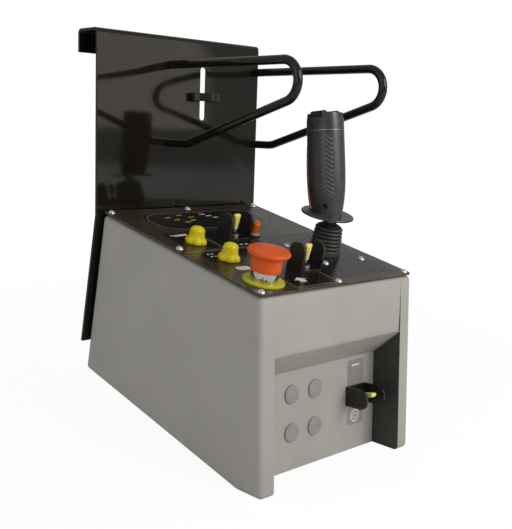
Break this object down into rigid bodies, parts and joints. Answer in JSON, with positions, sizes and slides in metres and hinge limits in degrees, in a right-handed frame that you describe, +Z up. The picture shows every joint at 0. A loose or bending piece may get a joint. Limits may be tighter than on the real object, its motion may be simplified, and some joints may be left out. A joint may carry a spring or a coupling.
{
  "type": "scissor lift control box",
  "caption": "Operator's control box on a rail-hook bracket: sloping panel with a joystick, emergency stop, push buttons, a lamp and guarded toggle switches.",
  "frame": {"origin": "centre of the underside of the rail hook, where it rests on the guard rail", "axes": "+X to the operator's right, +Y towards the rail and the platform's outside, +Z up"},
  "size_m": [0.227, 0.2883, 0.4236],
  "materials": {
    "black_paint": "satin black powder coat",
    "grey_moulding": "fine grained grey moulding",
    "black_plastic": "fine grained black",
    "grip_plastic": "satin dark grey",
    "black_rubber": "satin black rubber",
    "panel_print": "glossy dark film over dull metal",
    "zinc_steel": "zinc plated",
    "chrome_trim": "polished",
    "red_plastic": "satin orange red",
    "yellow_plastic": "satin yellow",
    "yellow_rubber": "moulded yellow rubber",
    "pale_plastic": "pale plastic",
    "amber_lens": "clear amber",
    "board_green": "solder mask green"
  },
  "bodies": {
    "control_box": {"mounting_bracket": "black_paint", "left_hoop_guard": "black_paint", "right_hoop_guard": "black_paint", "strap_loop": "black_paint", "bracket_bolts": "zinc_steel", "housing": "grey_moulding", "blanking_plugs": "grey_moulding", "panel_gasket": "black_rubber", "control_panel": "panel_print", "panel_screws": "zinc_steel", "estop_legend_ring": "yellow_plastic", "estop_bezel": "chrome_trim", "estop_locknut": "black_plastic", "estop_contacts": "black_plastic", "rear_button_boot": "yellow_rubber", "rear_button_switch": "zinc_steel", "front_button_boot": "yellow_rubber", "front_button_switch": "zinc_steel", "lamp_seal": "black_rubber", "lamp_bezel": "pale_plastic", "lamp_lens": "amber_lens", "lamp_holder": "zinc_steel", "rear_toggle_guard": "black_plastic", "rear_toggle_nut": "chrome_trim", "rear_toggle_switch": "zinc_steel", "front_toggle_guard": "black_plastic", "front_toggle_nut": "chrome_trim", "front_toggle_switch": "zinc_steel", "face_toggle_guard": "black_plastic", "face_toggle_nut": "chrome_trim", "face_toggle_switch": "zinc_steel", "joystick_base": "black_plastic", "joystick_pivot_pin": "zinc_steel", "joystick_screws": "zinc_steel", "joystick_bellows": "black_rubber", "circuit_board": "board_green", "board_screws": "zinc_steel", "cable_gland": "black_plastic", "gland_nut": "black_plastic"},
    "joystick": {"joystick_shaft": "zinc_steel", "shaft_nut": "zinc_steel", "hand_disc": "black_plastic", "grip_left_half": "grip_plastic", "grip_right_half": "grip_plastic", "grip_screw": "zinc_steel", "grip_cap": "grip_plastic", "rocker_pin": "zinc_steel", "trigger_pin": "zinc_steel"},
    "trigger": {"grip_trigger": "red_plastic"},
    "rocker": {"thumb_rocker": "grip_plastic"},
    "estop_slide": {"estop_plunger": "zinc_steel"},
    "estop_knob": {"estop_head": "red_plastic"},
    "rear_button": {"rear_button_plunger": "black_plastic"},
    "front_button": {"front_button_plunger": "black_plastic"},
    "rear_toggle": {"rear_toggle_lever": "chrome_trim", "rear_toggle_cap": "yellow_plastic"},
    "front_toggle": {"front_toggle_lever": "chrome_trim", "front_toggle_cap": "yellow_plastic"},
    "face_toggle": {"face_toggle_lever": "chrome_trim", "face_toggle_cap": "yellow_plastic"}
  },
  "joints": [
    {"name": "joystick_tilt", "type": "hinge", "parent": "control_box", "child": "joystick", "pos_m": [0.056, -0.1831, -0.23703], "axis": [1, 0, 0], "range_deg": [-20, 20], "stiffness_Nm_per_rad": 2.5, "deforming": ["joystick_bellows"]},
    {"name": "grip_trigger", "type": "hinge", "parent": "joystick", "child": "trigger", "pos_m": [0.056, -0.16735, -0.11141], "axis": [-1, 0, 0], "range_deg": [0, 3.5], "stiffness_Nm_per_rad": 4, "springref_deg": -1.72},
    {"name": "thumb_rocker", "type": "hinge", "parent": "joystick", "child": "rocker", "pos_m": [0.056, -0.1803, -0.08103], "axis": [0, 0.9954, -0.0958], "range_deg": [-12, 12], "stiffness_Nm_per_rad": 0.2},
    {"name": "estop_push", "type": "slide", "parent": "control_box", "child": "estop_slide", "axis": [0, 0.2079, -0.9781], "range_m": [0, 0.005]},
    {"name": "estop_twist", "type": "hinge", "parent": "estop_slide", "child": "estop_knob", "pos_m": [-0.08, -0.23624, -0.22992], "axis": [0, 0.2079, -0.9781], "range_deg": [0, 35], "stiffness_Nm_per_rad": 0.1},
    {"name": "rear_button_press", "type": "slide", "parent": "control_box", "child": "rear_button", "axis": [0, 0.2079, -0.9781], "range_m": [0, 0.0025], "stiffness_N_per_m": 900, "springref_m": -0.001, "deforming": ["rear_button_boot"]},
    {"name": "front_button_press", "type": "slide", "parent": "control_box", "child": "front_button", "axis": [0, 0.2079, -0.9781], "range_m": [0, 0.0025], "stiffness_N_per_m": 900, "springref_m": -0.001, "deforming": ["front_button_boot"]},
    {"name": "rear_toggle_throw", "type": "hinge", "parent": "control_box", "child": "rear_toggle", "pos_m": [-0.017, -0.12654, -0.20252], "axis": [1, 0, 0], "range_deg": [-12, 12], "stiffness_Nm_per_rad": 0.1},
    {"name": "front_toggle_throw", "type": "hinge", "parent": "control_box", "child": "front_toggle", "pos_m": [-0.01, -0.22142, -0.22269], "axis": [1, 0, 0], "range_deg": [-12, 12], "stiffness_Nm_per_rad": 0.1},
    {"name": "face_toggle_throw", "type": "hinge", "parent": "control_box", "child": "face_toggle", "pos_m": [0.0615, -0.23793, -0.36242], "axis": [1, 0, 0], "range_deg": [0, 20]}
  ]
}
